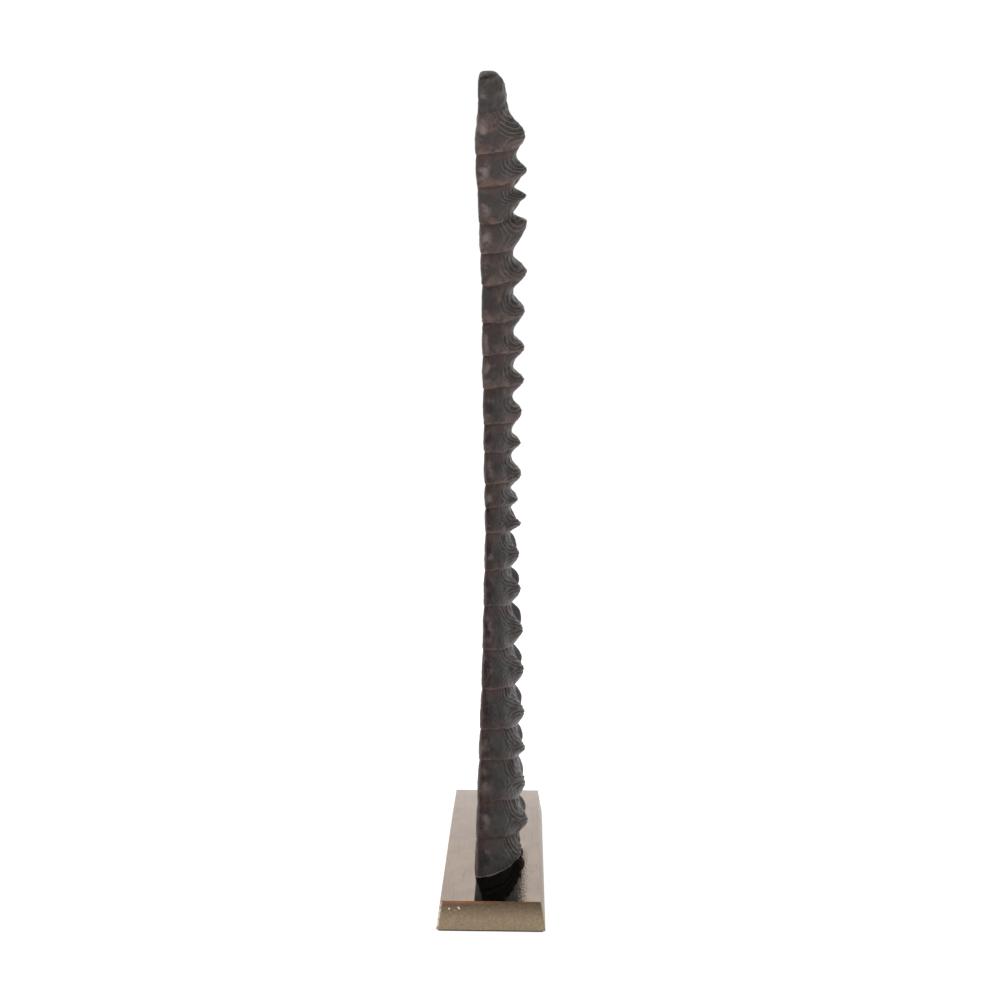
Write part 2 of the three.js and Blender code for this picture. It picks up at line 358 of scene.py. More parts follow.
def outline_at(turn):
    """Points of the closed outline at shares of its round, by Catmull-Rom."""
    count = len(OUTLINE)
    at = (turn % 1.0) * count
    i = np.floor(at).astype(int)
    t = (at - i)[..., None]
    p0, p1, p2, p3 = (OUTLINE[(i + k) % count] for k in (-1, 0, 1, 2))
    return 0.5 * (
        2 * p1 + (p2 - p0) * t + (2 * p0 - 5 * p1 + 4 * p2 - p3) * t**2 + (3 * p1 - p0 - 3 * p2 + p3) * t**3
    )


print("inner line ends at y", round(LINE_Y[-1]), "z", round(LINE_Z[-1]), "mm")


# %% [markdown]
# ## The horn's relief
# On the knobbed side the lip of each ring stands out as a tooth. Across the inner face the rings
# are low pillows with a tight crease between them. Fine flutes run lengthways and fan out from
# each neck to the lip, and the whole surface is a little lumpy, as horn is.


# %% Curves and noise
def smooth_step(low, high, value):
    t = np.clip((value - low) / (high - low), 0, 1)
    return t * t * (3 - 2 * t)


def bump(middle, width, value):
    return np.exp(-(((value - middle) / width) ** 2))


def noise_at(points, size, octaves=3, offset=0.0):
    """Smooth noise from -1 to 1 with features of the given size in millimetres."""
    shift = Vector((offset, 2.3 * offset, -1.7 * offset))
    flat = points.reshape(-1, 3) / size
    values = [noise.fractal(Vector(p) + shift, 0.9, 2.1, octaves) for p in flat]
    return np.array(values).reshape(points.shape[:-1])


print("a smooth step is", round(float(smooth_step(0, 1, 0.25)), 3), "a quarter of the way along")

# %% [markdown]
# A point on the horn is named by its turn, its share of the way round the section, and by its
# station, its distance up the inner line. The rings don't lie level: on the inner face they dip
# towards the knobbed side, and on the rear they sit higher. So the stations slide a little with the
# turn, and the teeth are counted along their own slanting scale.

# %% Where a point of the horn lies
# How far the rings dip and lift, as (distance up the inner line, millimetres)
NECK_DIP = [
    (267, 0), (306, 2), (344, 2), (371, 5), (396, 8), (429, 9), (460, 11), (496, 13), (531, 14), (567, 16),
    (608, 12), (636, 5), (664, -5), (676, -5), (700, 7), (712, 7), (736, 10), (750, 9), (790, 1), (832, 0),
]  # fmt: skip
REAR_LIFT = [(-60, 9), (300, 10), (420, 3), (620, 2), (680, -8), (832, -6)]
REAR_STARTS = (0.41, 0.49)
REAR_ENDS = (0.74, 0.97)
SLIDE_ENDS = (790, 815)


def rear_share(turn):
    """How far a point lies on the rear of the horn, where the rings sit higher."""
    return smooth_step(*REAR_STARTS, turn) * (1 - smooth_step(*REAR_ENDS, turn))


def ring_slide(turn, station):
    """How far the rings slide up the horn at each turn, in millimetres."""
    rise = smooth_between(REAR_LIFT, station) - smooth_between(NECK_DIP, station)
    return rise * rear_share(turn) * (1 - smooth_step(*SLIDE_ENDS, station))


def tooth_place(turn, nominal):
    """The tooth that each point is on, its share of it, and the tooth's pitch and reach."""
    at = nominal + smooth_between(NECK_DIP, nominal) * (1 - rear_share(turn))
    tooth = np.searchsorted(ring_starts, at, side="right") - 1
    toothed = (tooth >= 0) & (tooth < len(RINGS))
    tooth = np.clip(tooth, 0, len(RINGS) - 1)
    pitch, reach = RINGS[tooth, 0], RINGS[tooth, 1] * toothed
    return np.clip((at - ring_starts[tooth]) / pitch, 0, 1), pitch, reach


def section_at(turn, station):
    """The section's size, the point of its outline, and the way out of it, at each turn and station."""
    left = smooth_between(MEDIAL_EDGE, station)
    size = np.stack([smooth_between(LATERAL_NECK, station) - left, smooth_between(DEPTH, station)], axis=-1)
    step = 1e-3
    along = (outline_at(turn + step) - outline_at(turn - step)) * size
    outward = np.stack([along[..., 1], -along[..., 0]], axis=-1)
    return left, size, outline_at(turn), outward / np.linalg.norm(outward, axis=-1, keepdims=True)


def place_on_horn(turn, station, scale=1.0, proud=0.0):
    """Positions in millimetres of points on the skin, or on a core shaped like it at a smaller scale."""
    left, size, at, outward = section_at(turn, station)
    past = np.clip(station - (TIP_AT - TIP_ROUNDING), 0, TIP_ROUNDING) / TIP_ROUNDING
    shrink = scale * np.sqrt(np.clip(1 - past**3, 0, 1))
    across = CORE_CENTRE[0] + (at[..., 0] - CORE_CENTRE[0]) * shrink
    deep = CORE_CENTRE[1] + (at[..., 1] - CORE_CENTRE[1]) * shrink
    x = left + across * size[..., 0] + outward[..., 0] * proud
    v = deep * size[..., 1] + outward[..., 1] * proud
    lean = lean_at(station) * RING_LEAN_SHARE
    y = np.interp(station, LINE_S, LINE_Y) + v * np.cos(lean)
    z = np.interp(station, LINE_S, LINE_Z) - v * np.sin(lean)
    return np.stack([x, y, z], axis=-1)


print("the skin's lowest inner corner is at", place_on_horn(np.array(0.0), np.array(0.0)).round(1))

# %% [markdown]
# Two rows of knobs run up the horn: the near teeth on the inner face's edge, and far knobs behind
# them. A tooth rises slowly from the neck below it, rounds over at its crest and falls in a hollow to
# the neck above. Round each notch the skin is gathered in nested folds, a few millimetres apart.

# %% Knobs and folds
# Where the crest lies between two necks, from the lower one, and how full the rise to it is
KNOB_CREST = [
    (-60, 0.37), (108, 0.37), (127, 0.26), (145, 0.37), (225, 0.42), (262, 0.46), (300, 0.4), (350, 0.42),
    (430, 0.54), (630, 0.56), (658, 0.76), (690, 0.6), (725, 0.5), (765, 0.45), (832, 0.4),
]  # fmt: skip
KNOB_FULLNESS = [(-60, 1.4), (250, 1.4), (350, 2.0), (832, 2.0)]
KNOB_FALL = 3.6
NEAR_TOOTH = {"turn": 0.385, "width": 0.058}
FAR_KNOB = {"turn": 0.487, "width": 0.034}
FAR_KNOB_SHARE = [
    (-60, 1.1), (310, 1.1), (345, 0.8), (372, 0.2), (395, 0), (640, 0), (690, 0.95), (750, 0.9), (785, 0),
]  # fmt: skip
NEAR_FALLS_BACK = 0.6
ROUNDED = {"end": 0.84, "power": 0.9}
FOLD_CENTRE = {"out": 5.0, "share": 0.96}
FOLD_SPACING = 3.3
FOLD_HEIGHT = 0.6
FOLD_FLATTENING = 0.9
# Between which turns the folds begin, ease off, thin out behind a far knob, and end
FOLD_TURNS = {"begin": (0.13, 0.24), "ease": (0.38, 0.45), "behind": (0.41, 0.44), "end": (0.55, 0.66)}
# How far the folds reach from the notch, and how much less round one height of the horn
FOLD_REACH = {"usual": 19, "less": 6, "height": 470, "over": 110}


def knob_height(share, crest, fullness):
    """A rise from the lower neck to the rounded crest, then a hollow fall to the upper neck."""
    rise = np.sin(np.clip(share / crest, 0, 1) * np.pi / 2) ** fullness
    fall = np.cos(np.clip((share - crest) / (1 - crest), 0, 1) * np.pi / 2) ** KNOB_FALL
    return np.where(share < crest, rise, fall)


def fold_distance(turn, station, along, tooth_pitch, outstand):
    """Millimetres from the notch beside each tooth, as seen from the inner face."""
    size = section_at(turn, station)[1]
    inward = (1 - outline_at(turn)[..., 0]) * size[..., 0] - outstand + FOLD_CENTRE["out"]
    from_notch = (along - FOLD_CENTRE["share"] + 0.5) % 1 - 0.5
    return np.hypot(inward, FOLD_FLATTENING * from_notch * tooth_pitch)


def fold_weight(turn, station, along, crest, far_share, away, toothed):
    """Where the folds show: on the knobbed edge, above the rise, and fading away from the notch."""
    behind = smooth_step(*FOLD_TURNS["behind"], turn) * np.clip(far_share, 0, 1)
    weight = smooth_step(*FOLD_TURNS["begin"], turn) * (1 - 0.8 * behind)
    weight = weight * (1 - smooth_step(*FOLD_TURNS["end"], turn)) * toothed
    weight = weight * (1 - 0.6 * smooth_step(*FOLD_TURNS["ease"], turn))
    less = FOLD_REACH["less"] * bump(FOLD_REACH["height"], FOLD_REACH["over"], station)
    spread = FOLD_REACH["usual"] - less
    weight = weight * (1 - smooth_step(spread, 1.4 * spread, away))
    return weight * (0.15 + 0.85 * smooth_step(0.5 * crest, 1.05 * crest, along))


print("knob profile at half share:", round(float(knob_height(np.array(0.5), 0.54, 2.0)), 2))

# %% [markdown]
# The relief adds it all up as millimetres out of the bare section: the knobs, the pillow of each
# ring, the lip and the tuck at each crease, and the folds. The same numbers say where a finish is
# worn, stained or shaded, so they are kept as masks beside the relief.

# %% Relief and masks
PILLOW = 1.3
LIP = {"height": 0.9, "reach": 4.0, "edge": 0.5}
TUCK = {"depth": 0.9, "below": 2.4, "above": 1.1, "above_share": 0.7}
GROOVE = {"turn": 0.428, "width": 0.013, "depth": 0.9}
CALM_TIP = (735, 780)
# Between which turns the faces of the horn give way to each other
INNER_ENDS, INNER_BEGINS = (0.26, 0.38), (0.8, 0.95)
REAR_KNOBS_BEGIN, REAR_EDGE_BEGINS = (0.47, 0.55), (0.5, 0.58)
INNER_HALF_ENDS = (0.32, 0.42)
# How wide the corner is as a share of the way round, for the shape and for its wear
CORNER_WIDTH, CORNER_WEAR = 0.06, 0.025
# How far each mark reaches from its crease, in millimetres
LIP_MARK, STAIN_MARK, PATCH_MARK = 1.2, 9, 9
SHADE_MARK, SHADE_GROWS = 1.5, 2.5
# Where a mark runs up the horn: its turn and its width
MARK_TURNS = {"centre": (0.17, 0.06), "satin": (0.05, 0.035)}
SPECKLE_BEGINS, SPECKLE_ENDS = (0.42, 0.437), (0.53, 0.6)
# Between which distances up the inner line the horn turns warmer, and the folds flatten
UPPER_HORN, FOLDS_FLATTEN = (330, 600), (580, 640)


def ring_relief(turn, nominal, station, ring, share, warp):
    """How far the skin stands out from the bare section in millimetres, and the masks a finish can use."""
    outward = section_at(turn, station)[3]
    ringed = ring < len(RINGS)
    pitch = np.where(ringed, RINGS[np.clip(ring, 0, len(RINGS) - 1), 0], TIP_AT - ring_starts[-1])
    above, below = share * pitch, (1 - share) * pitch
    middle = np.sin(np.pi * np.clip(share, 0, 1))
    along, tooth_pitch, reach = tooth_place(turn, nominal)
    toothed = reach > 0

    # The knobs
    far_share = smooth_between(FAR_KNOB_SHARE, station)
    far_only = np.clip(far_share, 0, 1)
    slack = np.clip(turn - NEAR_TOOTH["turn"], 0, None) * NEAR_FALLS_BACK * (1 - far_only)
    near = bump(NEAR_TOOTH["turn"], NEAR_TOOTH["width"], turn - slack) * np.clip(outward[..., 0], 0, 1)
    far = far_share * bump(FAR_KNOB["turn"], FAR_KNOB["width"], turn)
    rear = np.clip(outward[..., 1], 0, 1) ** 2 * smooth_step(*REAR_KNOBS_BEGIN, turn)
    crest = smooth_between(KNOB_CREST, station)
    height = knob_height(along, crest, smooth_between(KNOB_FULLNESS, station))
    rounded = np.sin(np.pi * np.clip(along / ROUNDED["end"], 0, 1)) ** ROUNDED["power"]
    groove = far_only * bump(GROOVE["turn"], GROOVE["width"], turn) * np.sin(np.pi * along)
    knob = np.maximum(np.maximum(height * near, rounded * far), height * rear)

    # The pillows, and the lip and tuck at each crease
    calm = smooth_step(*CALM_TIP, station)
    from_corner = np.minimum(turn, 1 - turn)
    corner = bump(0.0, CORNER_WIDTH, from_corner)
    pillow = PILLOW * (1 - 0.7 * corner) * np.sin(np.pi * np.clip(share, 0, 1) ** 0.8) * ringed
    inner_again = smooth_step(*INNER_BEGINS, turn)
    inner_face = 1 - smooth_step(*INNER_ENDS, turn) + inner_again
    rear_edge = 0.5 * smooth_step(*REAR_EDGE_BEGINS, turn) * (1 - inner_again)
    edge = np.maximum(inner_face * (1 - 0.75 * corner), rear_edge) * (1 - calm)
    inner_face = inner_face * (1 - 0.9 * calm)
    lip = LIP["height"] * np.exp(-above / LIP["reach"]) * (1 - np.exp(-above / LIP["edge"])) * ringed
    tuck = np.exp(-((below / TUCK["below"]) ** 2)) * ringed
    tuck = TUCK["depth"] * (tuck + TUCK["above_share"] * np.exp(-((above / TUCK["above"]) ** 2)))

    # The folds
    away = fold_distance(turn, station, along, tooth_pitch, reach * knob * outward[..., 0]) + warp
    folded = fold_weight(turn, station, along, crest, far_share, away, toothed)
    fold = FOLD_HEIGHT * (1 - 0.55 * smooth_step(*FOLDS_FLATTEN, station)) * folded
    fold = fold * np.cos(2 * np.pi * away / FOLD_SPACING)

    upper = smooth_step(*UPPER_HORN, station)
    inner_half = 1 - smooth_step(*INNER_HALF_ENDS, turn)
    masks = {
        "fold_mm": away,
        "fold_weight": folded,
        # A pale lip above each crease: wear, and a painted highlight on its lit edge
        "lip": np.exp(-above / LIP_MARK) * inner_face * ringed,
        # Dirt and painted shade in the crease under each lip
        "shade": np.exp(-below / (SHADE_MARK + SHADE_GROWS * upper)) * inner_face * ringed,
        "stain": np.exp(-((below / STAIN_MARK) ** 2)) * inner_face * ringed,
        "patch": np.exp(-((above / PATCH_MARK) ** 2)) * inner_half * (0.25 + 0.75 * upper) * ringed,
        "worn": height * near * toothed,
        # A painted cool reflection along the middle of each ring
        "centre": middle * bump(*MARK_TURNS["centre"], turn),
        "edge": bump(0.0, CORNER_WEAR, from_corner),
        # A painted satin highlight beside the inner corner
        "satin": bump(*MARK_TURNS["satin"], turn) * middle**2,
        # Painted shade on the far knobs, broken into specks
        "speckle": far_only * smooth_step(*SPECKLE_BEGINS, turn) * (1 - smooth_step(*SPECKLE_ENDS, turn)),
        # Painted shade in the groove between each near tooth and the far knob behind it
        "groove": groove,
        "upper": upper,
    }
    return reach * knob + pillow + (lip - tuck) * edge + fold - GROOVE["depth"] * groove, masks


print("each lip stands", LIP["height"], "mm proud and each tuck is", TUCK["depth"], "mm deep")

# %% [markdown]
# ## Rolling up the skin
# A flat grid is the start. Its columns go round the horn and its rows go up it, with the rows
# closer together at each crease. Every grid point is moved to its place on the horn, and the seam
# where the two long edges meet is merged. The masks are stored on the same grid points, so a finish
# follows the rings exactly.

# %% Plan the grid
AROUND = 114
# The columns are crowded where the knobs are: shares of the columns, and the turns they reach
COLUMN_SHARES = [0, 0.16, 0.7, 1]
COLUMN_TURNS = [0, 0.17, 0.54, 1]
ROWS_PER_RING = 37
TIP_ROWS = 26
FOOT_ROWS = 14
CROWDING = 0.4


def row_plan():
    """The rows' distances up the inner line, with each row's ring and share of it."""
    stations = [np.linspace(-BURIED, -2, FOOT_ROWS)]
    shares = [np.zeros(FOOT_ROWS)]
    rings = [np.zeros(FOOT_ROWS, dtype=int)]
    for k, (start, (pitch, _)) in enumerate(zip(ring_starts, RINGS)):
        t = np.arange(ROWS_PER_RING) / ROWS_PER_RING
        share = t - CROWDING * np.sin(2 * np.pi * t) / (2 * np.pi)
        stations.append(start + share * pitch)
        shares.append(share)
        rings.append(np.full(ROWS_PER_RING, k))
    tip = np.sin(np.linspace(0, np.pi / 2, TIP_ROWS + 1))
    stations.append(ring_starts[-1] + tip * (TIP_AT - ring_starts[-1]))
    shares.append(tip)
    rings.append(np.full(TIP_ROWS + 1, len(RINGS)))
    return np.concatenate(stations), np.concatenate(rings), np.concatenate(shares)


stations, rings, shares = row_plan()
turn = np.interp(np.arange(AROUND + 1) / AROUND, COLUMN_SHARES, COLUMN_TURNS)[None, :]
ring, share = rings[:, None], shares[:, None]
print(len(stations), "rows by", turn.shape[1], "columns")

# %% Work out the skin
# Sizes of the wobble of the rings, the waver of the folds and the lumps, in millimetres
WOBBLE = {"height": 2.2, "size": 30}
WAVER = {"height": 1.6, "size": 18}
LUMPS = {"height": 0.65, "size": 13}
FLUTES = {"height": 0.3, "stretch": (3, 3, 0.7)}
GNARLED_TIP = 1.2
GNARLED_FROM, STEADY_FROM = (745, 790), (755, 795)
TIP_FADE = 12

nominal = stations[:, None] + 0 * turn
station = nominal + ring_slide(turn, nominal)
fade = 1 - smooth_step(TIP_AT - TIP_FADE, TIP_AT, station)
rough = place_on_horn(turn, station)
closed_turn = np.where(turn == 1, 0, turn)
steady = 1 - smooth_step(*STEADY_FROM, station)
wobble = noise_at(place_on_horn(closed_turn, station), WOBBLE["size"])
station = station + WOBBLE["height"] * steady * wobble
warp = WAVER["height"] * noise_at(place_on_horn(closed_turn, station), WAVER["size"], offset=3)
relief, masks = ring_relief(turn, nominal, station, ring, share, warp)
lumps = LUMPS["height"] * noise_at(rough, LUMPS["size"], offset=5)
lumps = lumps + FLUTES["height"] * noise_at(rough * FLUTES["stretch"], LUMPS["size"], offset=9)
gnarled = 1 + GNARLED_TIP * smooth_step(*GNARLED_FROM, station)
skin = place_on_horn(turn, station, proud=(relief + gnarled * lumps) * fade)
print("the highest knob stands", round(float(relief.max()), 1), "mm out of the section")


# %% Roll a grid into the horn
def rolled_grid(name, points_mm):
    """A grid object whose rows and columns of vertices are moved to the given points."""
    rows, columns = points_mm.shape[:2]
    deselect_all()
    bpy.ops.mesh.primitive_grid_add(x_subdivisions=columns - 1, y_subdivisions=rows - 1, size=1)
    piece = bpy.context.object
    piece.name = name
    piece.data.vertices.foreach_set("co", (points_mm.reshape(-1, 3) * MM).ravel())
    piece.data.update()
    return piece


def store_mask(piece, name, values):
    layer = piece.data.attributes.new(name, "FLOAT", "POINT")
    layer.data.foreach_set("value", np.broadcast_to(values, skin.shape[:2]).astype(np.float32).ravel())


horn = rolled_grid("horn", skin)
for name, values in masks.items():
    store_mask(horn, name, values)
print("skin of", skin.shape[0], "rows by", skin.shape[1], "columns")

# %% [markdown]
# A real sheath is hollow at the root, where it sat on the skull's bone core. A second, smaller skin
# is rolled up inside the first and closed at its top. Both are cut level with the plinth by a bisect,
# and the two cut rims are bridged, which makes the flat ring of the foot. The seam is merged before
# the normals are turned outwards.

# %% Line the root and close the skin
HOLLOW = {"scale": 0.68, "height": 190.0}
WALL_ROWS = 12
DOME_SCALES = [0.7, 0.35, 0.1, 0]
MERGE_DISTANCE = 0.00002

hollow_top = np.full(len(DOME_SCALES), HOLLOW["height"])
hollow_s = np.concatenate([np.linspace(-BURIED, HOLLOW["height"], WALL_ROWS), hollow_top])[:, None]
hollow_scale = np.concatenate([np.full(WALL_ROWS, 1.0), DOME_SCALES])[:, None] * HOLLOW["scale"]
rolled_grid("lining", place_on_horn(turn, hollow_s + 0 * turn, scale=hollow_scale))
horn.select_set(True)
bpy.context.view_layer.objects.active = horn
bpy.ops.object.join()
bpy.ops.object.mode_set(mode="EDIT")
bpy.ops.mesh.select_all(action="SELECT")
bpy.ops.mesh.remove_doubles(threshold=MERGE_DISTANCE)
bpy.ops.mesh.bisect(
    plane_co=(0, 0, PLINTH_TOP + FOOT_GAP * MM), plane_no=(0, 0, 1), use_fill=False, clear_inner=True
)
bpy.ops.mesh.select_all(action="DESELECT")
bpy.ops.mesh.select_non_manifold(extend=False)
bpy.ops.mesh.bridge_edge_loops()
bpy.ops.mesh.select_all(action="SELECT")
bpy.ops.mesh.normals_make_consistent(inside=False)
bpy.ops.mesh.select_all(action="DESELECT")
bpy.ops.mesh.select_non_manifold(extend=False)
bpy.ops.object.mode_set(mode="OBJECT")
open_edges = sum(v.select for v in horn.data.vertices)
deselect_all()
horn.select_set(True)
bpy.ops.object.shade_smooth()
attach(horn, "root")
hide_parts("horn_sheath")
triangles = sum(len(p.vertices) - 2 for p in horn.data.polygons)
print("horn has", triangles, "triangles and", open_edges, "vertices on open edges")

# %% [markdown]
# ## The horn's finish
# Keratin, scraped clean and oiled: warm brown where the sheath is thin or rubbed. Shade is painted
# near black into the hollows, and the crests of the folds are painted pale as highlights. The roll-up
# stored masks that say where each of these belongs, and noise in real millimetres breaks every one
# of them up, so no edge is drawn with a ruler. The colours are kept as a list of layers, from the
# bottom one up.

# %% Layers of the horn's colour
HORN_TONES = [(0.35, "#1a1414"), (0.5, "#291f1f"), (0.66, "#3a2d2b")]
# Each layer: its colour, its mask, and each pattern that breaks it up, with the span it is read over
HORN_LAYERS = [
    # A painted cool reflection along the middle of each ring
    ("#242829", "centre", [("clouds", 0.4, 0.6, 0.2, 1.0)]),
    # Lengthways streaks of lighter keratin
    ("#463b37", None, [("streaks", 0.5, 0.68, 0, 0.6)]),
    # Handling wear down the inner corner
    ("#46332e", "edge", [("blotches", 0.35, 0.6, 0.2, 0.8)]),
    # The upper horn is warmer, with tawny streaks
    ("#21150f", "upper", [("blotches", 0.3, 0.7, 0.4, 1.0)]),
    ("#5c4033", "upper", [("clouds", 0.5, 0.62, 0, 0.75), ("streaks", 0.42, 0.6)]),
    # Brown stain gathers under each lip, and the teeth are rubbed pale
    ("#452a22", "stain", [("blotches", 0.4, 0.6)]),
    ("#483c36", "worn", [("streaks", 0.35, 0.6, 0, 0.8)]),
    # Thin, light patches above each crease, and a painted satin highlight beside the corner
    ("#59423a", "patch", [("blotches", 0.42, 0.56)]),
    ("#6f6360", "satin", [("clouds", 0.48, 0.6, 0, 0.8)]),
    # Dirt and painted shade in the crease under each lip, and the pale lip beside it: wear, and a painted
    # highlight on its lit edge
    ("#150e0e", "shade", [("streaks", 0.35, 0.6, 0.3, 0.9)]),
    ("#644b3e", "lip", [("blotches", 0.4, 0.6, 0, 0.8)]),
]
# Painted highlight on the crests of the folds; painted shade in their troughs and in each groove
HORN_FOLD_HIGHLIGHT = "#5e5550"
HORN_PAINTED_SHADE = "#0d0b0b"
# Painted shade on the far knobs
HORN_FAR_KNOB_SHADE = "#0f0d0d"
PALE_FOOT_LINE = "#8f867c"
print(len(HORN_LAYERS), "layers from", HORN_LAYERS[0][0], "to", HORN_LAYERS[-1][0])

# %% [markdown]
# The folds carry a finer growth line between every two of them, drawn from the same distance to the
# notch that shaped them, so colour and shape agree: their crests are painted pale as highlights, and
# painted shade darkens the troughs between them. The waver noise stops the lines from being perfect
# arcs. The oil is thin, so the gloss is weak and wanders from patch to patch. Real pores are a tenth
# of a millimetre wide, too fine to show, so they are drawn ten times coarser.


# %% Horn finish
FINE_SPACING = 1.4
FINE_SHARE = 0.55
LINE_WAVER = 5.0
FOOT_LINE_FROM, FOOT_LINE_TO = 0.0018, 0.0008
STREAK_RELIEF, PORE_RELIEF = 2.2, 0.7


def horn_material():
    """Oiled keratin: its low, uneven gloss leaves the dark colour to show, with soft pale glints."""
    material, tree = new_material("oiled_dark_horn")
    where = add_node(tree, "TexCoord").outputs["Object"]
    lengthways = add_node(tree, "Mapping", inputs={"Vector": where, "Scale": (3.0, 3.0, 0.5)})
    # Each pattern: what it is read from, its size in millimetres, its detail and its roughness
    fields = {
        "clouds": (where, 16, 5, 0.55),
        "streaks": (lengthways, 7, 4, 0.65),
        "pores": (where, 1.1, 3, 0.6),
        "blotches": (where, 7, 5, 0.6),
        "waver": (where, 8, 3, 0.55),
    }
    patterns = {}
    for name, (source, size, detail, roughness) in fields.items():
        grain = {"Vector": source, "Scale": per_mm(size), "Detail": detail, "Roughness": roughness}
        patterns[name] = add_node(tree, "TexNoise", inputs=grain)
    stored = {name: add_node(tree, "Attribute", {"attribute_name": name}).outputs["Fac"] for name in masks}

    base = add_node(tree, "ValToRGB", inputs={"Fac": patterns["clouds"]})
    set_tones(base, HORN_TONES)
    colour = base.outputs["Color"]
    for hex_colour, mask, spans in HORN_LAYERS:
        parts = [stored[mask]] if mask else []
        parts += [(patterns[name], *span) for name, *span in spans]
        colour = lay_colour(tree, colour, hex_colour, *parts)

    waver = share_of(tree, patterns["waver"], LINE_WAVER)
    lines = []
    for spacing in (FOLD_SPACING, FINE_SPACING):
        phase = {0: stored["fold_mm"], 1: 2 * math.pi / spacing, 2: waver}
        angle = add_node(tree, "Math", {"operation": "MULTIPLY_ADD"}, phase)
        lines.append(add_node(tree, "Math", {"operation": "COSINE"}, {0: angle}))
    coarse, fine = lines
    waves = add_node(tree, "Math", {"operation": "MULTIPLY_ADD"}, {0: fine, 1: FINE_SHARE, 2: coarse})
    folded = stored["fold_weight"]
    # Painted highlight on the crests of the folds, and painted shade in the troughs between them
    colour = lay_colour(tree, colour, HORN_FOLD_HIGHLIGHT, (waves, 0.2, 1.4, 0, 0.9), folded)
    colour = lay_colour(tree, colour, HORN_PAINTED_SHADE, (waves, 0.0, -1.1, 0, 0.95), folded)
    # Painted shade on the far knobs, broken into specks by the pores pattern
    speckle = (patterns["pores"], 0.58, 0.46, 0.25, 0.95)
    colour = lay_colour(tree, colour, HORN_FAR_KNOB_SHADE, stored["speckle"], speckle)
    # Painted shade in the groove between each near tooth and the far knob behind it
    colour = lay_colour(tree, colour, HORN_PAINTED_SHADE, stored["groove"], 0.9)

    # A thin pale line round the foot, just above the plinth
    z = add_node(tree, "SeparateXYZ", inputs={"Vector": where}).outputs["Z"]
    colour = lay_colour(tree, colour, PALE_FOOT_LINE, (z, PLINTH_TOP + FOOT_LINE_FROM, PLINTH_TOP + FOOT_LINE_TO), 0.7)

    height = share_of(tree, waves, folded)
    for name, relief in (("streaks", STREAK_RELIEF), ("pores", PORE_RELIEF)):
        sum_up = {0: patterns[name], 1: relief, 2: height}
        height = add_node(tree, "Math", {"operation": "MULTIPLY_ADD"}, sum_up)
    relief = add_node(tree, "Bump", inputs={"Strength": 0.9, "Distance": 0.0003, "Height": height})
    surface = add_node(
        tree,
        "BsdfPrincipled",
        inputs={
            "Base Color": colour,
            "Roughness": share_of(tree, (patterns["blotches"], 0.35, 0.65, 0.3, 0.52)),
            "IOR": 1.54,
            "Specular IOR Level": 0.32,
            "Normal": relief,
        },
    )
    add_node(tree, "OutputMaterial", inputs={"Surface": surface})
    return material


dress_in(horn, horn_material())
print("horn finish:", horn.data.materials[0].name)

# %% [markdown]
# ## The plinth
# A plain casting whose four sides lean in a little, so it would leave its mould freely. Its edges
# are dressed with a file, which leaves a very small bevel: the bevel is what catches the light. Two
# stepped holes come up from below for the screws.

# %% Helpers for solid pieces
def apply_modifier(piece, kind, settings):
    modifier = piece.modifiers.new(kind.lower(), kind)
    for name, value in settings.items():
        setattr(modifier, name, value)
    deselect_all()
    piece.select_set(True)
    bpy.context.view_layer.objects.active = piece
    bpy.ops.object.modifier_apply(modifier=modifier.name)


def settle(piece):
    """Writes a piece's place and size into its mesh, so it stands at the origin unturned and unscaled."""
    deselect_all()
    piece.select_set(True)
    bpy.context.view_layer.objects.active = piece
    bpy.ops.object.transform_apply(location=True, rotation=True, scale=True)


def add_block(name, low, high):
    """A box between two corners, in metres."""
    deselect_all()
    bpy.ops.mesh.primitive_cube_add(size=1, location=[(a + b) / 2 for a, b in zip(low, high)])
    block = bpy.context.object
    block.name = name
    block.scale = [b - a for a, b in zip(low, high)]
    settle(block)
    return block


def add_cylinder(name, radius, bottom, top, spot, sides=48):
    """A closed upright cylinder, with its radius and ends in millimetres and its spot in metres."""
    deselect_all()
    place = (spot[0], spot[1], (bottom + top) / 2 * MM)
    size = {"radius": radius * MM, "depth": (top - bottom) * MM}
    bpy.ops.mesh.primitive_cylinder_add(vertices=sides, location=place, **size)
    piece = bpy.context.object
    piece.name = name
    settle(piece)
    return piece


def cut(piece, cutter):
    apply_modifier(piece, "BOOLEAN", {"operation": "DIFFERENCE", "object": cutter, "solver": "EXACT"})
    bpy.data.objects.remove(cutter)


def smooth_by_angle(piece, degrees=35):
    deselect_all()
    piece.select_set(True)
    bpy.context.view_layer.objects.active = piece
    bpy.ops.object.shade_smooth_by_angle(angle=math.radians(degrees))


print("the plinth's box is", [round((b - a) / MM, 1) for a, b in zip(plinth_low, plinth_high)], "mm")

# %% Plinth block
EDGE_BREAK = 0.5
BEVEL_ABOVE_ANGLE = 40
COUNTERBORE_RADIUS, COUNTERBORE_DEPTH = 9.0, 10.5
CLEARANCE_RADIUS = 4.5
CUTTER_OVERRUN = 5
SCREW_SPOTS = {end: [(a + b) / 2 for a, b in zip(*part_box("screw_" + end))][:2] for end in ("front", "rear")}
NARROWING = 8.8
TOP_HALF_X = plinth_high[0] - NARROWING / 2 * MM
TOP_HALF_Y = plinth_high[1] - NARROWING / 2 * MM
SIDE_SLOPE = NARROWING / 2 * MM / (plinth_high[2] - plinth_low[2])


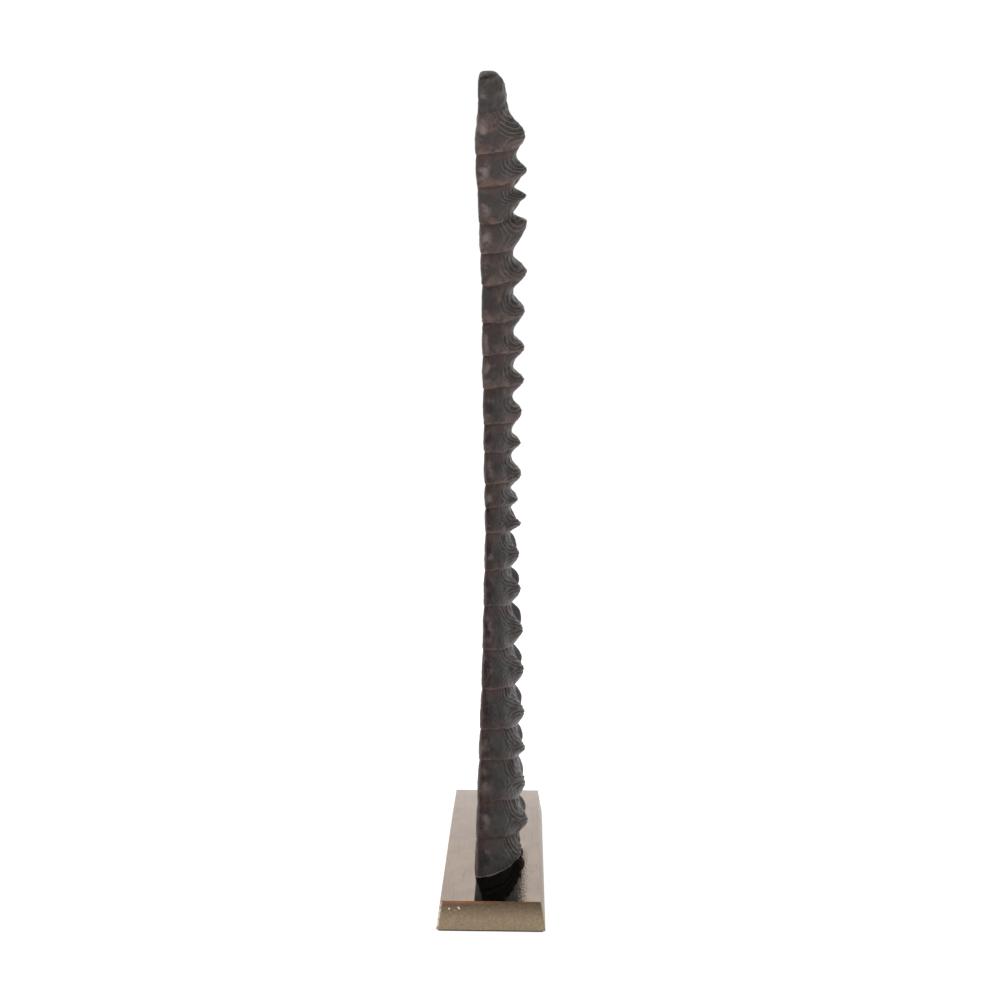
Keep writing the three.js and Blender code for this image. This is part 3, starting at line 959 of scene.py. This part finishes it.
def build_plinth():
    block = add_block("plinth_casting", plinth_low, plinth_high)
    for corner in block.data.vertices:
        if corner.co.z > PLINTH_TOP - MM:
            corner.co.x -= math.copysign(NARROWING / 2 * MM, corner.co.x)
            corner.co.y -= math.copysign(NARROWING / 2 * MM, corner.co.y)
    bottom, top = plinth_low[2] / MM, PLINTH_TOP / MM
    for spot in SCREW_SPOTS.values():
        cut(block, add_cylinder("clearance", CLEARANCE_RADIUS, -CUTTER_OVERRUN, top + CUTTER_OVERRUN, spot))
        step = bottom + COUNTERBORE_DEPTH
        cut(block, add_cylinder("counterbore", COUNTERBORE_RADIUS, -CUTTER_OVERRUN, step, spot))
    limit = {"limit_method": "ANGLE", "angle_limit": math.radians(BEVEL_ABOVE_ANGLE)}
    apply_modifier(block, "BEVEL", {"width": EDGE_BREAK * MM, "segments": 3, **limit})
    smooth_by_angle(block)
    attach(block, "root")
    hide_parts("plinth")
    return block


plinth = build_plinth()
print("plinth has", len(plinth.data.polygons), "faces")

# %% [markdown]
# Old brass goes olive and taupe where it is not rubbed. The top is polished and mirrors the horn's
# foot, with brushed streaks that break the mirror up, and a dark reflection of the foot is painted on
# it in front. The sides are duller and pitted from the casting, and every edge is worn back to pale
# bare metal, coppery where the file has just passed. One material serves all faces: it tells the top
# from the sides by which way a face looks. Brush lines and scratches are really a tenth of a
# millimetre wide, and are drawn coarser so that they show.

# %% Places on the plinth
# How level a face is where the sides end and the top begins
LEVEL = (0.7, 0.95)
SIDE_TONES = [(0.35, "#7d6c59"), (0.55, "#8b7a64"), (0.7, "#97856f")]
BELOW_TOP = {
    "darkening": (PLINTH_TOP - 0.018, PLINTH_TOP - 0.001),
    "copper": (PLINTH_TOP - 0.0035, PLINTH_TOP - 0.0008),
    "pits_low": (PLINTH_TOP - 0.0092, PLINTH_TOP - 0.008),
    "pits_high": (PLINTH_TOP - 0.005, PLINTH_TOP - 0.006),
}
COPPER_LEFT = (0.006, -0.016, 0.15, 1.0)
PIT_SIZE = 3.2
PITS_LEFT = (-0.014, -0.019, 0.1, 1.0)
PITS_FRONT = (-0.112, -0.118)
RUBBED_WIDTHS = (0.0022, 0.0006)
# Where the painted dark reflection of the horn's foot lies on the top, and where it thins out in specks
REFLECTION_LEFT, REFLECTION_FRONT = (-0.0158, -0.0148), (-0.012, -0.03)
REFLECTION_THINS = (0.014, 0.046, 0.85, 0.2)
print("the copper line is", round((PLINTH_TOP - BELOW_TOP["copper"][0]) / MM, 1), "mm wide")


# %% Brass finish
def side_brass(tree, mottle, z):
    """The cast sides: mottled olive, darker towards the top."""
    base = add_node(tree, "ValToRGB", inputs={"Fac": mottle})
    set_tones(base, SIDE_TONES)
    return lay_colour(tree, base.outputs["Color"], "#5f4f40", (z, *BELOW_TOP["darkening"]), 0.6)


def bare_brass(tree, where, place, mottle, side):
    """Where the sides are bare: casting pits near the front's left, and the rubbed upright corner."""
    x, y, z = (place.outputs[axis] for axis in "XYZ")
    pits = add_node(tree, "TexVoronoi", inputs={"Vector": where, "Scale": per_mm(PIT_SIZE)})
    band = share_of(
        tree, (y, *PITS_FRONT), (z, *BELOW_TOP["pits_low"]), (z, *BELOW_TOP["pits_high"]), (x, *PITS_LEFT)
    )
    pitted = share_of(tree, (pits, 0.3, 0.2), side, band)
    drop = add_node(tree, "Math", {"operation": "SUBTRACT"}, {0: PLINTH_TOP, 1: z})
    spread = share_of(tree, drop, SIDE_SLOPE)
    corner = []
    for across, half in ((x, TOP_HALF_X), (y, TOP_HALF_Y)):
        mirrored = share_of(tree, across, -1.0)
        past = add_node(tree, "Math", {"operation": "SUBTRACT"}, {0: mirrored, 1: spread})
        corner.append((past, half - RUBBED_WIDTHS[0], half - RUBBED_WIDTHS[1]))
    rubbed = share_of(tree, *corner, (mottle, 0.4, 0.55, 0.2, 0.9), side)
    return add_node(tree, "Math", {"operation": "MAXIMUM"}, {0: pitted, 1: rubbed})


def brass_material():
    """Cast brass, antiqued: a metal, so it takes its colour from what it mirrors, sharp on the polished
    top and soft on the sides."""
    material, tree = new_material("antiqued_cast_brass")
    where = add_node(tree, "TexCoord").outputs["Object"]
    facing = add_node(tree, "NewGeometry").outputs["Normal"]
    upward = add_node(tree, "SeparateXYZ", inputs={"Vector": facing}).outputs["Z"]
    top = share_of(tree, (upward, *LEVEL))
    side = add_node(tree, "Math", {"operation": "SUBTRACT"}, {0: 1.0, 1: top})
    place = add_node(tree, "SeparateXYZ", inputs={"Vector": where})
    x, y, z = (place.outputs[axis] for axis in "XYZ")
    brushing = add_node(tree, "Mapping", inputs={"Vector": where, "Scale": (0.12, 1.0, 1.0)})
    scratching = add_node(tree, "Mapping", inputs={"Vector": where, "Scale": (1.0, 0.06, 1.0)})
    # Each pattern: what it is read from, its size in millimetres, its detail and its roughness
    fields = [
        (where, 30, 5, 0.55),
        (where, 2.6, 5, 0.6),
        (where, 0.8, 3, 0.55),
        (brushing, 2.2, 4, 0.6),
        (where, 1.3, 6, 0.75),
        (scratching, 1.2, 4, 0.6),
    ]
    patterns = []
    for source, size, detail, roughness in fields:
        grain = {"Vector": source, "Scale": per_mm(size), "Detail": detail, "Roughness": roughness}
        patterns.append(add_node(tree, "TexNoise", inputs=grain))
    clouds, mottle, grain, brushed, reflection_specks, scratches = patterns

    top_colour = lay_colour(tree, "#a89a90", "#b0a193", (clouds, 0.4, 0.6))
    colour = lay_colour(tree, side_brass(tree, mottle, z), top_colour, top)
    colour = lay_colour(tree, colour, "#b07a56", (z, *BELOW_TOP["copper"]), (x, *COPPER_LEFT), side)
    bare = bare_brass(tree, where, place, mottle, side)
    colour = lay_colour(tree, colour, "#e8dccd", bare)

    # A dark reflection of the horn's foot is painted on the top in front of it, and thins out in specks to
    # the right
    thinning = share_of(tree, (x, *REFLECTION_THINS))
    specks = add_node(tree, "Math", {"operation": "SUBTRACT"}, {0: thinning, 1: reflection_specks})
    colour = lay_colour(tree, colour, "#1b1511", (x, *REFLECTION_LEFT), (y, *REFLECTION_FRONT), (specks, -0.04, 0.08), top)
    colour = lay_colour(tree, colour, "#6d5f56", (scratches, 0.56, 0.72, 0, 0.32), top)

    rough_side = share_of(tree, (mottle, 0.3, 0.7, 0.3, 0.46))
    rough_top = share_of(tree, (brushed, 0.4, 0.75, 0.03, 0.1))
    roughness = add_node(tree, "Mix", {"data_type": "FLOAT"}, {0: top, 2: rough_side, 3: rough_top})
    height = add_node(tree, "Math", {"operation": "MULTIPLY_ADD"}, {0: mottle, 1: 1.6, 2: grain})
    height = share_of(tree, height, (top, 0, 1, 1.0, 0.12))
    height = add_node(tree, "Math", {"operation": "MULTIPLY_ADD"}, {0: bare, 1: -2.0, 2: height})
    relief = add_node(tree, "Bump", inputs={"Strength": 0.5, "Distance": 0.0002, "Height": height})
    surface = add_node(
        tree,
        "BsdfPrincipled",
        inputs={"Base Color": colour, "Metallic": 1.0, "Roughness": roughness, "Normal": relief},
    )
    add_node(tree, "OutputMaterial", inputs={"Surface": surface})
    return material


dress_in(plinth, brass_material())
print("plinth finish:", plinth.data.materials[0].name)

# %% [markdown]
# ## Screws, washers and inserts
# Two cap screws hold the horn down from below. Each is a body of revolution, so half of its
# section is drawn as a closed loop and spun once round. The same spin makes the washers and the
# sleeves of the inserts.

# %% Spinning a section
CHAMFER = 0.4


def spin_piece(name, section, spot, steps=48):
    """A solid of revolution from a closed loop of (radius, height) in millimetres."""
    deselect_all()
    bpy.ops.mesh.primitive_circle_add(vertices=len(section), radius=1, location=(0, 0, 0))
    piece = bpy.context.object
    piece.name = name
    for vertex, (radius, height) in zip(piece.data.vertices, section):
        vertex.co = (spot[0] + radius * MM, spot[1], height * MM)
    bpy.ops.object.mode_set(mode="EDIT")
    bpy.ops.mesh.select_all(action="SELECT")
    bpy.ops.mesh.spin(steps=steps, angle=2 * math.pi, center=(spot[0], spot[1], 0), axis=(0, 0, 1))
    bpy.ops.mesh.select_all(action="SELECT")
    bpy.ops.mesh.remove_doubles(threshold=0.000005)
    bpy.ops.mesh.normals_make_consistent(inside=False)
    bpy.ops.object.mode_set(mode="OBJECT")
    return piece


def height_span(node):
    low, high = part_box(node)
    return low[2] / MM, high[2] / MM


def ring_section(inner, outer, low, high):
    """A square section with chamfered corners."""
    c = CHAMFER
    return [
        (inner, low + c), (inner + c, low), (outer - c, low), (outer, low + c),
        (outer, high - c), (outer - c, high), (inner + c, high), (inner, high - c),
    ]  # fmt: skip

print("the front screw runs from", [round(v, 1) for v in height_span("screw_front")], "mm")

# %% [markdown]
# A screw's thread is a row of ridges one pitch apart. A real thread is one long helix, but at this
# size the eye can't tell the two apart, and the ridges spin in one step. The six-sided socket is cut
# afterwards, with a cylinder of six sides.

# %% Screws
SCREW_HEAD = {"radius": 6.5, "height": 8.0, "socket": 3.46, "depth": 4.0}
THREAD = {"crest": 4.0, "root": 3.35, "pitch": 1.25, "plain": 6.0}


def screw_section(low, high):
    """The head from below, then the neck, the thread's ridges and the point."""
    head, c = SCREW_HEAD, CHAMFER
    head_top = low + head["height"]
    loop = [(0, low), (head["radius"] - c, low), (head["radius"], low + c), (head["radius"], head_top)]
    loop += [(THREAD["crest"], head_top), (THREAD["crest"], head_top + THREAD["plain"])]
    z = head_top + THREAD["plain"] + THREAD["pitch"] / 2
    while z < high - THREAD["pitch"]:
        loop += [(THREAD["root"], z), (THREAD["crest"], z + THREAD["pitch"] / 2)]
        z += THREAD["pitch"]
    return loop + [(THREAD["root"], high), (0, high)]


def build_screw(end, spot):
    low, high = height_span("screw_" + end)
    screw = spin_piece("cap_screw_" + end, screw_section(low, high), spot)
    socket_floor = low + SCREW_HEAD["depth"]
    cut(screw, add_cylinder("socket", SCREW_HEAD["socket"], low - 1, socket_floor, spot, sides=6))
    return screw

print("a screw's section has", len(screw_section(*height_span("screw_front"))), "points")

# %% [markdown]
# An insert is a brass sleeve whose outside is knurled to bite into the wood: every second column of
# its outer face is pushed in a little. A washer is the same square ring, without the knurl.

# %% Inserts and washers
WASHER = {"inner": 4.4, "outer": 8.0}
INSERT = {"bore": 4.3, "outer": 6.0, "knurl": 0.35, "columns": 72}
SAME_RADIUS = 0.1


def build_insert(end, spot):
    section = ring_section(INSERT["bore"], INSERT["outer"], *height_span("insert_" + end))
    insert = spin_piece("knurled_insert_" + end, section, spot, INSERT["columns"])
    for vertex in insert.data.vertices:
        dx, dy = vertex.co.x - spot[0], vertex.co.y - spot[1]
        column = round(math.atan2(dy, dx) / (2 * math.pi) * INSERT["columns"])
        radius = math.hypot(dx, dy)
        if radius > (INSERT["outer"] - SAME_RADIUS) * MM and column % 2:
            share = 1 - INSERT["knurl"] * MM / radius
            vertex.co.x, vertex.co.y = spot[0] + dx * share, spot[1] + dy * share
    return insert


def build_washer(end, spot):
    section = ring_section(WASHER["inner"], WASHER["outer"], *height_span("washer_" + end))
    return spin_piece("flat_washer_" + end, section, spot)


print("an insert's knurl has", INSERT["columns"] // 2, "ridges")

# %% [markdown]
# Two metals dress the hardware. Zinc plate on steel is a cool grey with a soft sheen. Brass that was
# turned in a lathe is yellow and a little shinier, with a finer grain. Both wander between two tones
# as the thin film on them does. The real grain is a few hundredths of a millimetre, too fine to show,
# so it is drawn ten times coarser.


# %% Hardware finish
def plated_material(name, dark, pale, grain_mm, roughness):
    """A bright metal with a grain of the given size and a roughness that wanders between two values."""
    material, tree = new_material(name)
    where = add_node(tree, "TexCoord").outputs["Object"]
    fine = {"Vector": where, "Scale": per_mm(grain_mm), "Detail": 4, "Roughness": 0.55}
    cloudy = {"Vector": where, "Scale": per_mm(6), "Detail": 3, "Roughness": 0.55}
    grain = add_node(tree, "TexNoise", inputs=fine)
    film = add_node(tree, "TexNoise", inputs=cloudy)
    relief = add_node(tree, "Bump", inputs={"Strength": 0.3, "Distance": 0.0001, "Height": grain})
    surface = add_node(
        tree,
        "BsdfPrincipled",
        inputs={
            "Base Color": lay_colour(tree, dark, pale, (film, 0.35, 0.65)),
            "Metallic": 1.0,
            "Roughness": share_of(tree, (grain, 0.3, 0.7, *roughness)),
            "Normal": relief,
        },
    )
    add_node(tree, "OutputMaterial", inputs={"Surface": surface})
    return material


def dress(piece, node, material):
    smooth_by_angle(piece, 30)
    dress_in(piece, material)
    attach(piece, "root")
    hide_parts(node)


zinc = plated_material("zinc_plated_steel", "#8f9499", "#b3b6b8", 0.7, (0.28, 0.42))
cut_brass = plated_material("turned_brass", "#a98842", "#c9a858", 0.4, (0.22, 0.36))
for end, spot in SCREW_SPOTS.items():
    dress(build_screw(end, spot), "screw_" + end, zinc)
    dress(build_washer(end, spot), "washer_" + end, zinc)
    dress(build_insert(end, spot), "insert_" + end, cut_brass)

# %% [markdown]
# ## Root plug
# The plug is carried over from the frame, because it is hidden inside the horn and already has its
# bores; it only needs a wood finish. Beech has growth rings a few millimetres apart and short dark
# flecks along the grain, and a plane leaves it dry and matt.

# %% Wood finish
RING_SPACING = 0.003
RING_WANDER = 9.0


def wood_material():
    """Planed beech: pale, warm and matt, with faint bands and flecks and no gloss."""
    material, tree = new_material("planed_beech")
    where = add_node(tree, "TexCoord").outputs["Object"]
    upright = add_node(tree, "Mapping", inputs={"Vector": where, "Scale": (1.0, 1.0, 0.12)})
    broad = {"Vector": where, "Scale": per_mm(40), "Detail": 4, "Roughness": 0.55}
    short = {"Vector": upright, "Scale": per_mm(1.5), "Detail": 4, "Roughness": 0.6}
    wander = share_of(tree, add_node(tree, "TexNoise", inputs=broad), RING_WANDER)
    flecks = add_node(tree, "TexNoise", inputs=short)
    across = add_node(tree, "SeparateXYZ", inputs={"Vector": where}).outputs["X"]
    phase = {0: across, 1: 2 * math.pi / RING_SPACING, 2: wander}
    angle = add_node(tree, "Math", {"operation": "MULTIPLY_ADD"}, phase)
    growth = add_node(tree, "Math", {"operation": "SINE"}, {0: angle})
    colour = lay_colour(tree, "#a97f4e", "#bd9562", (growth, -1, 1))
    colour = lay_colour(tree, colour, "#7d5732", (flecks, 0.55, 0.7, 0, 0.7))
    relief = add_node(tree, "Bump", inputs={"Strength": 0.4, "Distance": 0.0002, "Height": flecks})
    surface = add_node(
        tree, "BsdfPrincipled", inputs={"Base Color": colour, "Roughness": 0.62, "Normal": relief}
    )
    add_node(tree, "OutputMaterial", inputs={"Surface": surface})
    return material


plug = bpy.data.objects["root_plug"]
dress_in(plug, wood_material())
print("plug finish:", plug.data.materials[0].name)

# %% [markdown]
# ## Base sheet
# A rubber sheet under the plinth keeps it from scratching a shelf. It is cut from a moulded mat, so
# its upright corners are rounded with scissors, and its face has a fine criss-cross rib. A block is
# bevelled twice: widely at the four upright edges, and then by a hair at all the sharp ones.

# %% Rubber sheet
CORNER_ROUND = 0.003
CORNER_STEPS = 6
SHEET_EDGE = 0.2
UPRIGHT_ABOVE = 0.0005


def build_sheet():
    sheet = add_block("rubber_sheet", *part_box("base_sheet"))
    bpy.ops.object.mode_set(mode="EDIT")
    bpy.ops.mesh.select_mode(type="EDGE")
    bpy.ops.mesh.select_all(action="DESELECT")
    bpy.ops.object.mode_set(mode="OBJECT")
    for edge in sheet.data.edges:
        ends = [sheet.data.vertices[i].co for i in edge.vertices]
        edge.select = abs(ends[0].z - ends[1].z) > UPRIGHT_ABOVE
    bpy.ops.object.mode_set(mode="EDIT")
    bpy.ops.mesh.bevel(offset=CORNER_ROUND, segments=CORNER_STEPS)
    bpy.ops.mesh.select_mode(type="VERT")
    bpy.ops.object.mode_set(mode="OBJECT")
    apply_modifier(sheet, "BEVEL", {"width": SHEET_EDGE * MM, "segments": 2, "limit_method": "ANGLE"})
    return sheet


sheet = build_sheet()
print("sheet's flat size:", [round(v / MM, 1) for v in sheet.dimensions], "mm")

# %% [markdown]
# Black rubber is a very dark grey with next to no gloss, and dust makes it paler in patches. The
# ribs are only bump, because they are about a tenth of a millimetre deep and lie face down.

# %% Rubber finish
RIB_SPACING = 0.0016


def rubber_material():
    """Moulded rubber: nearly black and matt, so it reads as a thin shadow line under the plinth."""
    material, tree = new_material("ribbed_black_rubber")
    where = add_node(tree, "TexCoord").outputs["Object"]
    place = add_node(tree, "SeparateXYZ", inputs={"Vector": where})
    patchy = {"Vector": where, "Scale": per_mm(9), "Detail": 5, "Roughness": 0.65}
    dust = add_node(tree, "TexNoise", inputs=patchy)
    ribs = []
    for axis in ("X", "Y"):
        angle = share_of(tree, place.outputs[axis], 2 * math.pi / RIB_SPACING)
        ribs.append(add_node(tree, "Math", {"operation": "SINE"}, {0: angle}))
    height = add_node(tree, "Math", {"operation": "MAXIMUM"}, {0: ribs[0], 1: ribs[1]})
    relief = add_node(tree, "Bump", inputs={"Strength": 0.5, "Distance": 0.0002, "Height": height})
    surface = add_node(
        tree,
        "BsdfPrincipled",
        inputs={
            "Base Color": lay_colour(tree, "#1d1d1f", "#37363a", (dust, 0.4, 0.7)),
            "Roughness": share_of(tree, (dust, 0.3, 0.7, 0.7, 0.88)),
            "Normal": relief,
        },
    )
    add_node(tree, "OutputMaterial", inputs={"Surface": surface})
    return material


dress(sheet, "base_sheet", rubber_material())
print("sheet finish:", sheet.data.materials[0].name)
